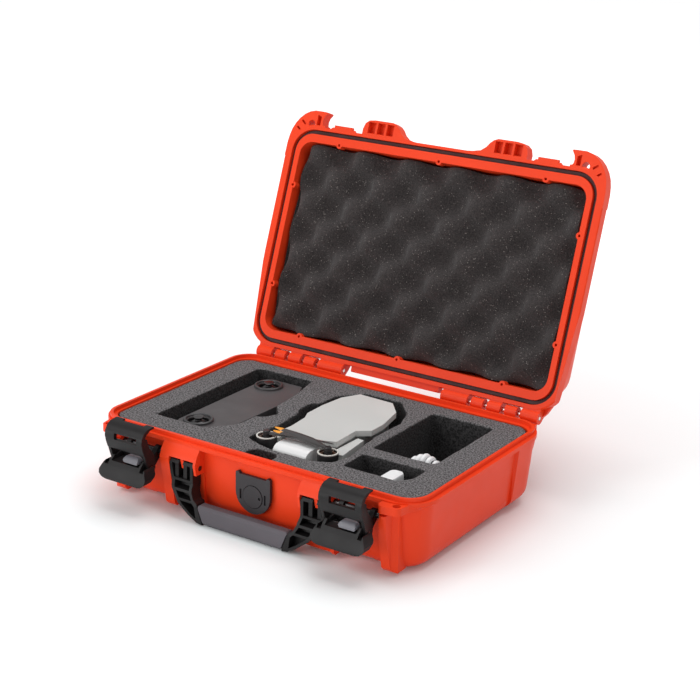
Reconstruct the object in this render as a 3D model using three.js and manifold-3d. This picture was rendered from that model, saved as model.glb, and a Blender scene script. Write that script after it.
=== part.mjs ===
// Hard drone carrying case, standing open: a moulded base and lid on a two-pin hinge, two lever latches
// with release buttons, a drop handle, a pressure valve, fitted foam, and the drone, controller, charger
// and cable that lie in it. Millimetres, +Z up, +X to the right along the front, front towards -Y.
// The origin is on the ground under the middle of the base.
import * as THREE from 'three';
import { mergeVertices } from 'three/addons/utils/BufferGeometryUtils.js';
import Module from 'manifold-3d';

const wasm = await Module();
wasm.setup();

// ---------------------------------------------------------------- driving dimensions
const CAVITY = { hx: 145, hy: 89, r: 14 };        // inside of the base at its mouth
const CORNER_STEPS = 8;                           // facets in each rounded corner of the shells
const GAP = 0.3;                                  // clearance between pieces that touch

const BASE = {
  bottomZ: 1.5, fillet: 12, lowHx: 146, lowHy: 91, lowR: 22,
  wallHx: 149, wallHy: 93.5, wallR: 22, wallTopZ: 53,
  flangeHx: 153.5, flangeHy: 99, flangeR: 28, flangeLowZ: 56.2, shoulderZ: 59.5,
  tongueZ: 62.5, floorZ: 5.5,
};
const TONGUE = { innerHx: 147, innerHy: 93.3, innerR: 17, outerHx: 149.5, outerHy: 95.8, outerR: 19.5 };

const HINGE = { y: 106, z: 62, knuckleR: 5.2, pinR: 1.6, boreR: 1.9, clearR: 6, innerX: 50, outerX: 141 };
const KNUCKLES = [                                // spans along |x|, and the shell each one belongs to
  { from: 50, to: 75, shell: 'lid' },
  { from: 79, to: 90, shell: 'base' },
  { from: 94, to: 106.5, shell: 'lid' },
  { from: 110.5, to: 121, shell: 'base' },
  { from: 125, to: 141, shell: 'lid' },
];
const LID_OPEN = THREE.MathUtils.degToRad(109.7); // lid angle at its stop

const LID = {
  rimZ: 60, ledgeTopZ: 62.4, flangeTopZ: 70, topZ: 98, ceilingZ: 94,
  flangeHx: 157, flangeHy: 101, flangeR: 27, backHx: 151, backFromY: 10, backToY: 95,
  bodyHx: 150.5, bodyHy: 94.5, bodyR: 23, crownHx: 148, crownHy: 92, fillet: 12,
  cavityHx: 141.5, cavityHy: 85.5, cavityR: 12,
};
const GROOVE = { innerHx: 146.4, innerHy: 92.7, innerR: 16.4, outerHx: 150.2, outerHy: 96.6, outerR: 20.5, topZ: 66 };

const PADLOCK = [135, -101.2];                    // middle of each padlock hole
const LATCH_X = 101;                              // middle of each latch
const LATCH = {
  halfClaw: 18.6, cheek: 2.6, pivotY: -98, pivotZ: 46, linkY: -112, linkZ: 37,
  pinR: 2.5, linkR: 2, halfPaddle: 23.3,
};

const HANDLE = { x: 3, pivotY: -99, pivotZ: 41.6, pinR: 2, innerX: 50.5, outerX: 73.8 };
const BLOCK = { innerX: 48, outerX: 80 };         // block that carries each end of the handle
const BAY = { backY: -93.8, topZ: 47.6, exitZ: 36.6 };
const VALVE = { x: 3.6, z: 29.4 };                    // middle of the valve's cap

const FOAM = { topZ: 59.2, splitZ: 14 };
const DRONE_X = 13.5;                             // middle of the drone

// ---------------------------------------------------------------- solids
// Turns a closed three.js geometry into a solid that can be joined and cut.
function solid(geometry) {
  const bare = geometry.clone();
  bare.deleteAttribute('normal');
  bare.deleteAttribute('uv');
  const merged = mergeVertices(bare, 1e-4);
  return new wasm.Manifold(new wasm.Mesh({
    numProp: 3,
    vertProperties: new Float32Array(merged.attributes.position.array),
    triVerts: new Uint32Array(merged.index.array),
  }));
}

// Turns a solid back into a geometry.
function geometryOf(manifold) {
  const mesh = manifold.getMesh();
  const geometry = new THREE.BufferGeometry();
  geometry.setAttribute('position', new THREE.BufferAttribute(new Float32Array(mesh.vertProperties), 3));
  geometry.setIndex(new THREE.BufferAttribute(new Uint32Array(mesh.triVerts), 1));
  return geometry;
}

function join(...parts) {
  return parts.flat().reduce((sum, part) => sum.add(part));
}

function cut(body, ...tools) {
  return tools.flat().reduce((rest, tool) => rest.subtract(tool), body);
}

function box(x0, x1, y0, y1, z0, z1) {
  const geometry = new THREE.BoxGeometry(x1 - x0, y1 - y0, z1 - z0);
  geometry.translate((x0 + x1) / 2, (y0 + y1) / 2, (z0 + z1) / 2);
  return solid(geometry);
}

// Extrudes an outline of [u, v] points along one axis. The outline's plane is xy, yz or xz.
function prism(axis, outline, from, to) {
  const shape = new THREE.Shape(outline.map(([u, v]) => new THREE.Vector2(u, v)));
  const geometry = new THREE.ExtrudeGeometry(shape, { depth: to - from, bevelEnabled: false });
  geometry.translate(0, 0, from);
  if (axis === 'x') {
    geometry.applyMatrix4(new THREE.Matrix4().set(0, 0, 1, 0, 1, 0, 0, 0, 0, 1, 0, 0, 0, 0, 0, 1));
  } else if (axis === 'y') {
    geometry.scale(1, 1, -1);
    geometry.applyMatrix4(new THREE.Matrix4().set(1, 0, 0, 0, 0, 0, -1, 0, 0, 1, 0, 0, 0, 0, 0, 1));
    flip(geometry);
  }
  return solid(geometry);
}

// Turns every face of a geometry over.
function flip(geometry) {
  const position = geometry.attributes.position;
  for (let i = 0; i < position.count; i += 3) {
    const first = new THREE.Vector3().fromBufferAttribute(position, i);
    const last = new THREE.Vector3().fromBufferAttribute(position, i + 2);
    position.setXYZ(i, last.x, last.y, last.z);
    position.setXYZ(i + 2, first.x, first.y, first.z);
  }
}

// A round bar along an axis, from one end to the other, about the centre [a, b] in the other two axes.
function bar(axis, radius, from, to, centre, sides = 24) {
  const geometry = new THREE.CylinderGeometry(radius, radius, to - from, sides);
  const middle = (from + to) / 2;
  const [a, b] = centre;
  if (axis === 'x') {
    geometry.rotateZ(Math.PI / 2);
    geometry.translate(middle, a, b);
  } else if (axis === 'y') {
    geometry.translate(a, middle, b);
  } else {
    geometry.rotateX(Math.PI / 2);
    geometry.translate(a, b, middle);
  }
  return solid(geometry);
}

// The points of a rounded rectangle about the origin, anticlockwise.
function roundedRectangle(hx, hy, r, steps = CORNER_STEPS) {
  const points = [];
  const corners = [[hx - r, hy - r], [r - hx, hy - r], [r - hx, r - hy], [hx - r, r - hy]];
  corners.forEach(([cx, cy], corner) => {
    for (let step = 0; step <= steps; step += 1) {
      const angle = (corner + step / steps) * Math.PI / 2;
      points.push([cx + r * Math.cos(angle), cy + r * Math.sin(angle)]);
    }
  });
  return points;
}

// A closed solid through rounded rectangles stacked upwards: each ring is {z, hx, hy, r}.
function stack(rings, steps = CORNER_STEPS) {
  const outlines = rings.map((ring) => roundedRectangle(ring.hx, ring.hy, ring.r, steps));
  const count = outlines[0].length;
  const positions = [];
  outlines.forEach((outline, level) => outline.forEach(([x, y]) => positions.push(x, y, rings[level].z)));
  const index = [];
  for (let level = 0; level + 1 < rings.length; level += 1) {
    for (let i = 0; i < count; i += 1) {
      const a = level * count + i;
      const b = level * count + (i + 1) % count;
      index.push(a, b, b + count, a, b + count, a + count);
    }
  }
  const lid = (rings.length - 1) * count;
  for (let i = 1; i + 1 < count; i += 1) {
    index.push(0, i + 1, i);
    index.push(lid, lid + i, lid + i + 1);
  }
  const geometry = new THREE.BufferGeometry();
  geometry.setAttribute('position', new THREE.Float32BufferAttribute(positions, 3));
  geometry.setIndex(index);
  return solid(geometry);
}

// Rings of a rounded edge: from the flat at flatZ out to the full size one radius further along z.
function edgeRings(flatZ, direction, full, radius, steps = 4) {
  const rings = [];
  for (let step = 0; step <= steps; step += 1) {
    const angle = (step / steps) * Math.PI / 2;
    const inset = radius * (1 - Math.sin(angle));
    rings.push({
      z: flatZ + direction * radius * (1 - Math.cos(angle)),
      hx: full.hx - inset, hy: full.hy - inset, r: Math.max(full.r - inset, 4),
    });
  }
  return direction > 0 ? rings : rings.reverse();
}

// A straight-sided ring or block with rounded corners.
function slab(hx, hy, r, z0, z1, steps = CORNER_STEPS) {
  return stack([{ z: z0, hx, hy, r }, { z: z1, hx, hy, r }], steps);
}

function turned(profile, segments = 32) {
  const geometry = new THREE.LatheGeometry(profile.map(([r, z]) => new THREE.Vector2(r, z)), segments);
  geometry.rotateX(Math.PI / 2);
  return solid(geometry);
}

function bothSides(right) {
  return [right, right.mirror([1, 0, 0])];
}

// Points of an arc in degrees, for outlines.
function arc(cx, cy, r, from, to, steps = 6) {
  return Array.from({ length: steps + 1 }, (_, i) => {
    const angle = THREE.MathUtils.degToRad(from + (to - from) * i / steps);
    return [cx + r * Math.cos(angle), cy + r * Math.sin(angle)];
  });
}

// ---------------------------------------------------------------- materials and scene graph
function plastic(colour, roughness = 0.45) {
  return new THREE.MeshStandardMaterial({ color: colour, roughness, metalness: 0 });
}

const ORANGE = plastic(0xf2401b, 0.42);
const BLACK = plastic(0x2b2a2b, 0.5);
const VALVE_BLACK = plastic(0x383639, 0.5);
const STEEL = new THREE.MeshStandardMaterial({ color: 0xc9c9c6, roughness: 0.25, metalness: 1 });
const BUTTON_GREY = plastic(0x6d6a71, 0.5);
const GRIP_GREY = plastic(0x5f5c62, 0.85);
const SEAL = plastic(0x3a1414, 0.8);
const BASE_FOAM = plastic(0x5c595c, 1);
const LID_FOAM = plastic(0x3a3535, 1);
const DRONE_GREY = plastic(0xd6d6d2, 0.4);
const MOTOR_BLACK = plastic(0x242424, 0.35);
const CONTROLLER_GREY = plastic(0x555255, 0.5);
const STICK_GREY = plastic(0x4a4849, 0.4);
const WHITE = plastic(0xe9e9ea, 0.35);

const caseGroup = new THREE.Group();
const lidGroup = new THREE.Group();
lidGroup.position.set(0, HINGE.y, HINGE.z);
lidGroup.rotation.x = -LID_OPEN;
caseGroup.add(lidGroup);

function piece(name, manifold, material, parent = caseGroup) {
  const mesh = new THREE.Mesh(geometryOf(manifold), material);
  mesh.name = name;
  parent.add(mesh);
  return mesh;
}

// ---------------------------------------------------------------- base shell
function baseTub() {
  const low = { hx: BASE.lowHx, hy: BASE.lowHy, r: BASE.lowR };
  const outside = stack([
    ...edgeRings(BASE.bottomZ, 1, low, BASE.fillet),
    { z: BASE.wallTopZ, hx: BASE.wallHx, hy: BASE.wallHy, r: BASE.wallR },
    { z: BASE.wallTopZ + 1.6, hx: BASE.wallHx + 1.2, hy: BASE.wallHy + 1.4, r: BASE.wallR + 1.2 },
    { z: BASE.flangeLowZ, hx: BASE.flangeHx, hy: BASE.flangeHy, r: BASE.flangeR },
    { z: BASE.shoulderZ, hx: BASE.flangeHx, hy: BASE.flangeHy, r: BASE.flangeR },
  ]);
  const tongue = cut(
    slab(TONGUE.outerHx, TONGUE.outerHy, TONGUE.outerR, BASE.shoulderZ - 1, BASE.tongueZ),
    slab(TONGUE.innerHx, TONGUE.innerHy, TONGUE.innerR, BASE.shoulderZ - 2, BASE.tongueZ + 1),
  );
  return join(outside, tongue);
}

// Thickened corner at the rear of each side wall.
function rearCornerPads() {
  const bulge = stack([
    ...edgeRings(BASE.bottomZ + 2, 1, { hx: BASE.lowHx + 2.6, hy: BASE.lowHy + 2, r: BASE.lowR + 2 }, BASE.fillet),
    { z: BASE.wallTopZ + 2, hx: BASE.wallHx + 2.6, hy: BASE.wallHy + 2, r: BASE.wallR + 2 },
  ]);
  const zone = prism('z', [[100, 50], [148, 50], [156, 56], [156, 110], [100, 110]], 0, 60);
  return bothSides(bulge.intersect(zone));
}

// Flat panel and four corner pads that the case stands on.
function standingFaces() {
  const panel = slab(112, 60, 10, 0, 4, 3);
  const foot = prism('z', [[104, -80], [126, -80], [133, -72], [133, -62], [104, -62]], 0, 6);
  const feet = [foot, foot.mirror([0, 1, 0])].flatMap(bothSides);
  return [panel, ...feet];
}

// Block beside each latch that carries the handle, leaning in towards its foot, with the handle's bay cut into it.
// Its outer face follows the latch and its inner face follows the handle.
function handleBlock(sign) {
  const shift = sign * HANDLE.x;
  const profile = [[-86, 3.5], [-95.5, 2.5], [-98, 5], [-105.5, 45.5], [-103, 52], [-99, 57], [-86, 57]];
  const block = prism('x', profile, BLOCK.innerX + shift, BLOCK.outerX);
  const bay = box(HANDLE.innerX - GAP, HANDLE.outerX + GAP, -120, BAY.backY, -5, BAY.topZ);
  const armExit = box(40, HANDLE.outerX, -120, BAY.backY, -5, BAY.exitZ);
  const tooth = prism('x', [[-92, 49], [-92, 39], [-97, 37.1], [-101, 38.6], [-103.4, 49]], 61.6, 64.4);
  const inside = [bay, armExit].map((space) => space.translate([shift, 0, 0]));
  const right = join(cut(block, inside), tooth.translate([shift, 0, 0]));
  return sign > 0 ? right : right.mirror([1, 0, 0]);
}

// Rounded column outside each latch, leaning in like the blocks, under the padlock lug.
function cornerColumn() {
  const outline = [[121.8, -84], [121.8, -103.6], ...arc(125.5, -103.4, 3.2, 200, 340, 4), [129.5, -98],
    [134, -95], [134, -84]];
  const lean = prism('x', [[-80, 3], [-95.5, 3], [-98.5, 6], [-107, 50], [-80, 50]], 115, 140);
  const column = prism('z', outline, 3, 50).intersect(lean);
  const lug = cut(
    prism('z', [[121.5, -88], [121.5, -103.5], ...arc(126, -103, 4.5, 190, 270, 4), [132.5, -106.4],
      ...arc(135, -101.2, 4.9, -95, -5, 5), [141, -95], [145, -88], [146, -75], [140, -70]], 52.5, 58.5),
    bar('z', 3.1, 45, 65, PADLOCK),
  );
  return join(column, lug);
}

// Bracket along the back that carries the base's hinge knuckles.
function hingeBracket() {
  const rib = prism('x', [[90, 36], [95, 40], [99.5, 50], [99.5, 59.3], [90, 59.3]], 46, 142);
  const web = [[92, 44], [98, 48], [105, 56.4], [109.6, 58.2], [111.2, 62], [101.2, 62], [100.6, 59.3], [92, 59.3]];
  const knuckles = KNUCKLES.filter((k) => k.shell === 'base').map((k) => join(
    prism('x', web, k.from, k.to),
    bar('x', HINGE.knuckleR, k.from, k.to, [HINGE.y, HINGE.z]),
  ));
  return { rib, knuckles };
}

function baseShell() {
  const bracket = hingeBracket();
  const knuckleClearance = bar('x', HINGE.clearR, 40, 142.4, [HINGE.y, HINGE.z]);
  const rear = join(cut(bracket.rib, knuckleClearance), bracket.knuckles);
  const latchPinHole = bar('x', LATCH.pinR + GAP, 78, 125, [LATCH.pivotY, LATCH.pivotZ]);
  const latchCheek = prism('x', [[-86, 4], [-95.5, 3.5], [-98.5, 7], [-105.5, 44], [-102, 51], [-86, 55]], 122.3, 128);
  const handlePinHole = join(bothSides(bar('x', HANDLE.pinR + GAP, 47, 75.5, [HANDLE.pivotY, HANDLE.pivotZ])));
  const outer = join(baseTub(), rearCornerPads(), standingFaces(), handleBlock(-1), handleBlock(1),
    bothSides(join(cornerColumn(), latchCheek, rear)));
  const inner = stack([
    ...edgeRings(BASE.floorZ, 1, { hx: CAVITY.hx - 3, hy: CAVITY.hy - 2, r: CAVITY.r - 2 }, 5, 2),
    { z: BASE.tongueZ + 2, hx: CAVITY.hx, hy: CAVITY.hy, r: CAVITY.r },
  ]);
  const hingeBore = bar('x', HINGE.boreR, 40, 145, [HINGE.y, HINGE.z]);
  const valveHole = bar('y', 6.3, -95.5, -90.8, [VALVE.x, VALVE.z]);
  const ventHole = bar('y', 2, -100, -80, [VALVE.x, VALVE.z], 12);
  return cut(outer, inner, bothSides(join(latchPinHole, hingeBore)), handlePinHole.translate([HANDLE.x, 0, 0]),
    valveHole, ventHole);
}
piece('base_shell', baseShell(), ORANGE);

// ---------------------------------------------------------------- pins
for (const [side, sign] of [['left', -1], ['right', 1]]) {
  const pin = (name, radius, from, to, centre, x = 0) => {
    const right = bar('x', radius, from, to, centre, 20);
    piece(`${name}_${side}`, (sign > 0 ? right : right.mirror([1, 0, 0])).translate([x, 0, 0]), STEEL);
  };
  pin('hinge_pin', HINGE.pinR, HINGE.innerX, HINGE.outerX, [HINGE.y, HINGE.z]);
  pin('latch_pin', LATCH.pinR, 78.5, 124.5, [LATCH.pivotY, LATCH.pivotZ]);
  pin('handle_pin', HANDLE.pinR, 48, 75, [HANDLE.pivotY, HANDLE.pivotZ], HANDLE.x);
}

// ---------------------------------------------------------------- pressure valve
// Drawn about x = 0 with z measured from the middle of the cap.
function valvePlate() {
  const outline = [[-16.2, 17.4], [-16.2, 2], ...arc(0, 2.2, 16.2, 190, 350, 12), [16.2, 2], [16.2, 17.4],
    [13.6, 18.4], [12.2, 16.4], [-12.2, 16.4], [-13.6, 18.4]];
  const plate = prism('y', outline, -96.4, -93.7);
  const capRecess = bar('y', 9.4, -101, -95.3, [0, 0], 32);
  const slots = [-11.5, 11.5].map((x) => box(x - 0.9, x + 0.9, -101, -95, -4, 4));
  return cut(plate, capRecess, slots, bar('y', 2, -101, -90, [0, 0], 12));
}

const valveCap = cut(bar('y', 9, -96.9, -95.6, [0, 0], 32), bar('y', 1.2, -102, -90, [6.5, 0], 8));
const atValve = (manifold) => manifold.translate([VALVE.x, 0, VALVE.z]);
piece('valve_plate', atValve(valvePlate()), VALVE_BLACK);
piece('valve_cap', atValve(valveCap), VALVE_BLACK);
piece('valve_membrane', atValve(bar('y', 5.8, -93.3, -92.3, [0, 0], 24)), WHITE);

// ---------------------------------------------------------------- base foam
const CONTROLLER_POCKET = [[-117.5, -64], [-70, -64], [-52, -43], [-51, -20], [-45, -17], [-39, -6], [-47, 4],
  [-51, 8], [-54, 40], [-62, 74], [-117.5, 74]];
const DRONE_POCKET = [[-28, -60], [-12, -66], [4, -69.5], [38, -69.5], [52, -63], [58, -50], [54, -26], [51, 2],
  [52, 36], [44, 58], [28, 76], [-8, 76], [-24, 56], [-26, 34], [-32, 30], [-31, 12], [-27, 6], [-24, -28],
  [-28, -44]];
const BIG_POCKET = [[62, -20.5], [115, -20.5], [118, -17.5], [118, 70.5], [62, 70.5]];
const SMALL_POCKET = [[63, -63], [112, -63], [119, -52], [119, -34.5], [63, -34.5]];
const FINGER_NOTCH = [[-12, -95], [-12, -79], [-8, -74.4], [9, -74.4], [13, -79], [13, -95]];

const pocket = (outline) => prism('z', outline, FOAM.splitZ - 1, FOAM.topZ + 1);
const foamBlock = stack([
  { z: FOAM.splitZ + GAP, hx: CAVITY.hx - 3.5, hy: CAVITY.hy - 2.5, r: CAVITY.r },
  { z: FOAM.topZ, hx: CAVITY.hx - 0.9, hy: CAVITY.hy - 0.9, r: CAVITY.r },
], 5);
piece('base_foam_insert', cut(foamBlock,
  [CONTROLLER_POCKET, DRONE_POCKET, BIG_POCKET, SMALL_POCKET, FINGER_NOTCH].map(pocket)), BASE_FOAM);
piece('base_foam_pad', slab(136, 81, 8, BASE.floorZ + GAP, FOAM.splitZ, 4), BASE_FOAM);

// ---------------------------------------------------------------- lid shell, in closed position
// Raised tab over each handle block: the strip of lid that the latch slips in beside.
function lidTab() {
  const outline = [[32, -94], [32, -99.2], [37.5, -101], [42, -104.4], [45, -108.4], [48, -111], [52, -112.6],
    [70, -112.6], [76, -111.8], [79.6, -109], [81.2, -104], [81.2, -94]];
  const cells = [[50, 57], [59, 66.5], [68.5, 76]].map(([x0, x1]) => box(x0, x1, -110.6, -100.4, 59, 66));
  return cut(prism('z', outline, LID.rimZ, LID.flangeTopZ), cells);
}

// Padlock ear at each front corner, with stiffening ribs on its underside.
function lidEar() {
  const outline = [[120.8, -94], [121.3, -99], [123.6, -102.2], [124, -105.4], [123.2, -108.6], [120.8, -112.2],
    [121.2, -113.2], [126, -113.4], [133.5, -113.4],
    [139, -112], [144, -109.2], [148.5, -105], [152, -100], [154.5, -94.6], [156, -88.6], [156.8, -82], [157, -70],
    [140, -70]];
  const hole = bar('z', 3.5, 50, 80, PADLOCK);
  const relief = prism('z', [[126, -99.8], [126, -108.6], [130, -110], [130, -99.8]], 59, 65);
  const slots = [[143.5, -101.5], [147.6, -95.5]].map(([x, y]) => prism('z', [[x - 1.6, y + 2.2], [x - 2.6, y + 0.6],
    [x + 1.8, y - 2.6], [x + 2.8, y - 1]], 59, 63));
  return cut(prism('z', outline, LID.rimZ, LID.flangeTopZ), hole, relief, slots);
}

// Room for each latch claw, over the thin ledge that it hooks on, with a stiffening bar along the ledge's middle.
function strikeRecess() {
  const ledgeEdge = prism('z', [[81.2, -99.3], [88, -99.3], [91.5, -103], [110.5, -103], [114, -99.3], [120.8, -99.3],
    [120.8, -120], [81.2, -120]], 59, 72);
  return join(box(81.2, 120.8, -120, -96.9, LID.ledgeTopZ, 72), ledgeEdge);
}
const strikeBar = () => box(91.5, 110.5, -103, -98, LID.rimZ, LID.ledgeTopZ);

// Web that fills the corner between the rim and the end of the hinge.
const cornerGusset = () => prism('z', [[140, 80], [149.5, 80], [149, 88], [147, 95], [144, 101], [141, 104.6],
  [140, 104.6]], 66.6, LID.flangeTopZ);

// Strip along the back of the rim between the two hinges.
const backStrip = () => box(-44, 44, 99, 105.5, 63, LID.flangeTopZ);

function lidHinge() {
  const web = [[92, 60.3], [102, 60.3], [104, 57.2], [106, 56.8], [111.2, 62], [109.7, 65.7], [105, 69.3], [99, 72.5],
    [92, 73]];
  return KNUCKLES.filter((k) => k.shell === 'lid').map((k) => join(
    prism('x', web, k.from, k.to),
    bar('x', HINGE.knuckleR, k.from, k.to, [HINGE.y, HINGE.z]),
  ));
}

// Screw bosses for the lid foam's retainers, standing in from the rim.
function lidBosses() {
  const places = [];
  for (const x of [-102, 0, 102]) {
    places.push([x, 86], [x, -86]);
  }
  for (const y of [-45, 45]) {
    places.push([142, y], [-142, y]);
  }
  return {
    posts: places.map(([x, y]) => bar('z', 3, LID.rimZ + 0.4, 67, [x, y], 16)),
    holes: places.map(([x, y]) => bar('z', 1.2, LID.rimZ - 1, 66, [x, y], 10)),
  };
}

function lidShell() {
  const crown = { hx: LID.crownHx, hy: LID.crownHy, r: LID.bodyR };
  const flange = stack([
    { z: LID.rimZ, hx: LID.flangeHx - 0.8, hy: LID.flangeHy - 0.8, r: LID.flangeR },
    { z: LID.rimZ + 0.8, hx: LID.flangeHx, hy: LID.flangeHy, r: LID.flangeR },
    { z: LID.flangeTopZ - 1.2, hx: LID.flangeHx, hy: LID.flangeHy, r: LID.flangeR },
    { z: LID.flangeTopZ, hx: LID.flangeHx - 1.2, hy: LID.flangeHy - 1.2, r: LID.flangeR - 1 },
  ]);
  const body = stack([
    { z: LID.rimZ + 2, hx: LID.bodyHx, hy: LID.bodyHy, r: LID.bodyR },
    { z: LID.flangeTopZ, hx: LID.bodyHx, hy: LID.bodyHy, r: LID.bodyR },
    ...edgeRings(LID.topZ, -1, crown, LID.fillet),
  ]);
  const backTaper = prism('z', [[LID.backHx, LID.backToY], [LID.flangeHx + 0.5, LID.backFromY],
    [170, LID.backFromY], [170, 120], [LID.backHx, 120]], 50, 80);
  const dip = prism('z', [[-38, -101.4], [-31, -99.6], [-25, -99], [25, -99], [31, -99.6], [38, -101.4], [38, -120],
    [-38, -120]], 50, 80);
  const flangeCut = join(cut(flange, dip, bothSides(join(backTaper, strikeRecess()))), bothSides(strikeBar()));
  const inner = stack([
    { z: LID.rimZ - 1, hx: LID.cavityHx, hy: LID.cavityHy, r: LID.cavityR },
    { z: LID.ceilingZ - 6, hx: LID.cavityHx - 1, hy: LID.cavityHy - 1, r: LID.cavityR },
    { z: LID.ceilingZ, hx: LID.cavityHx - 6, hy: LID.cavityHy - 6, r: LID.cavityR - 2 },
  ]);
  const groove = cut(
    slab(GROOVE.outerHx, GROOVE.outerHy, GROOVE.outerR, LID.rimZ - 1, GROOVE.topZ),
    slab(GROOVE.innerHx, GROOVE.innerHy, GROOVE.innerR, LID.rimZ - 2, GROOVE.topZ + 1),
  );
  const bosses = lidBosses();
  const knuckleClearance = bar('x', 6.4, -142, 142, [HINGE.y, HINGE.z]);
  const hingeBore = bar('x', HINGE.boreR, 40, 145, [HINGE.y, HINGE.z]);
  const plate = join(cut(join(flangeCut, body), knuckleClearance), backStrip(), bothSides(cornerGusset()));
  const shell = join(plate, lidHinge().flatMap(bothSides), bothSides(join(lidTab(), lidEar())));
  const open = cut(shell, inner, groove, bothSides(hingeBore));
  return cut(join(open, bosses.posts), bosses.holes, groove);
}

// Moves a solid made in the closed position so that the hinge axis is its origin.
const onHinge = (manifold) => manifold.translate([0, -HINGE.y, -HINGE.z]);

piece('lid_shell', onHinge(lidShell()), ORANGE, lidGroup);

const gasket = cut(
  slab(GROOVE.outerHx - 0.4, GROOVE.outerHy - 0.4, GROOVE.outerR - 0.4, 63.2, GROOVE.topZ - GAP),
  slab(GROOVE.innerHx + 0.4, GROOVE.innerHy + 0.4, GROOVE.innerR + 0.4, 60, GROOVE.topZ + 1),
);
piece('lid_gasket', onHinge(gasket), SEAL, lidGroup);

const lidFoam = stack([
  { z: 67.5, hx: 140.6, hy: 84.6, r: 11 },
  { z: 87.5, hx: 139.6, hy: 83.6, r: 11 },
  { z: LID.ceilingZ - GAP, hx: 132, hy: 76.5, r: 7 },
], 4);
piece('lid_foam', onHinge(lidFoam), LID_FOAM, lidGroup);

// ---------------------------------------------------------------- latches, in the open position they stand in
// Claw: a hooked plate with two cheeks on the link pin. Drawn about x = 0.
function latchClaw() {
  const plate = [[-118.8, 47.6], [-120.8, 49.4], [-122.6, 54.4], [-123.8, 59.6], [-123.2, 63.8], [-120.8, 67.4],
    [-117, 69.8], [-110.4, 70.4], [-108.6, 70.2], [-108.6, 68.8], [-113, 68.4], [-117.2, 66.4], [-119.8, 62.4],
    [-120.3, 58.6], [-119.2, 54.4], [-117.6, 50.8], [-116.4, 48.4]];
  const cheek = [...arc(LATCH.linkY, LATCH.linkZ, 4.4, 170, 370, 8), [-107.4, 42], [-110, 49], [-115, 55],
    [-117, 62], [-120.6, 64.5], [-122.6, 58.6], [-120.4, 49.4], [-118, 42]];
  const half = LATCH.halfClaw;
  const window = box(-9.4, 13, -130, -113, 57.8, 63);
  const lipNotch = box(-10.5, 11.5, -112.4, -105, 66.6, 74);
  const body = join(prism('x', plate, -half, half), prism('x', cheek, -half, -half + LATCH.cheek),
    prism('x', cheek, half - LATCH.cheek, half));
  return cut(body, window, lipNotch, bar('x', LATCH.linkR + GAP, -half - 1, half + 1, [LATCH.linkY, LATCH.linkZ]));
}

// Paddle: the lever that is pulled, with two arms on the latch pin and a seat for the button.
function latchPaddle() {
  const half = LATCH.halfPaddle;
  const side = [[-112.5, 40.6], [-118.2, 42.6], [-121.6, 39.8], [-124.4, 35.4], [-126.5, 30.4], [-127.6, 26.4],
    [-127, 24.4], [-125.2, 23.8], [-123.6, 25.6], [-122.4, 29.6], [-120.6, 33.4], [-118.2, 35.6], [-113.6, 33.8],
    [-111.4, 37]];
  const front = [[16.4, 42.4], [20.6, 37], [half, 31.4], [22.8, 28.2], [19.4, 25.4], [11.4, 23]];
  const outline = [[-15.4, 47], ...front.map(([x, z]) => [-x, z]), ...front.toReversed(), [15.4, 47]];
  const wall = [[-111.5, 36.6], [-112.5, 33], [-118, 28.4], [-123.6, 25.6], [-126.2, 28], [-123.8, 35.2],
    [-121, 39.4], [-116, 40]];
  const shell = join(prism('x', side, -half, half), bothSides(prism('x', wall, half - 2.8, half)));
  const arm = [[-95, 46], ...arc(LATCH.pivotY, LATCH.pivotZ, 4.4, 20, 160, 6), [-106, 44], [-113, 42.4], [-117, 41],
    [-117, 35], [-112.5, 32.6], [-106, 34], [-98, 41.4]];
  const arms = [-15.4, 11.4].map((x) => prism('x', arm, x, x + 4));
  const web = box(-11.6, 11.6, -107.2, -105.8, 34.8, 43.6);
  const body = join(shell.intersect(prism('y', outline, -135, -105)), arms, web);
  const holes = [
    bar('x', LATCH.pinR + GAP, -30, 30, [LATCH.pivotY, LATCH.pivotZ]),
    bar('x', LATCH.linkR + GAP, -16, 16, [LATCH.linkY, LATCH.linkZ]),
  ];
  const window = box(-13.5, 13.8, -125, -108, 39, 48);
  const cheekRoom = [-19.4, 15.8].map((x) => join(
    bar('x', 5, x, x + 3.6, [LATCH.linkY, LATCH.linkZ]),
    box(x, x + 3.6, -124, -100, 36, 48),
  ));
  return cut(body, window, holes, cheekRoom);
}

// Release button in the right half of the paddle's window.
function latchButton() {
  const side = [[-115.6, 46], [-118.6, 45.8], [-121, 44.6], [-122.6, 42.6], [-122.2, 40.6], [-119, 39.6],
    [-115.6, 39.6]];
  const front = [...arc(1.4, 42.8, 3.2, 90, 270, 6), ...arc(9.6, 42.8, 3.2, -90, 90, 6)];
  return prism('x', side, -2, 13).intersect(prism('y', front, -125, -110));
}

for (const [side, sign] of [['left', -1], ['right', 1]]) {
  const place = (name, shape, material) => {
    piece(`${name}_${side}`, shape, material).position.x = sign * LATCH_X;
  };
  place('latch_claw', latchClaw(), BLACK);
  place('latch_paddle', latchPaddle(), BLACK);
  place('latch_button', latchButton(), BUTTON_GREY);
  place('latch_link_pin', bar('x', LATCH.linkR, -18.6, 18.6, [LATCH.linkY, LATCH.linkZ], 20), STEEL);
}

// ---------------------------------------------------------------- handle
// Drawn about its pivot axis, hanging at rest against the base.
const handleGroup = new THREE.Group();
handleGroup.position.set(HANDLE.x, HANDLE.pivotY, HANDLE.pivotZ);
caseGroup.add(handleGroup);

const GRIP_CORE = { hx: 42, y0: -9.2, y1: -4.2, z0: -37.4, z1: -29.6 };

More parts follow.
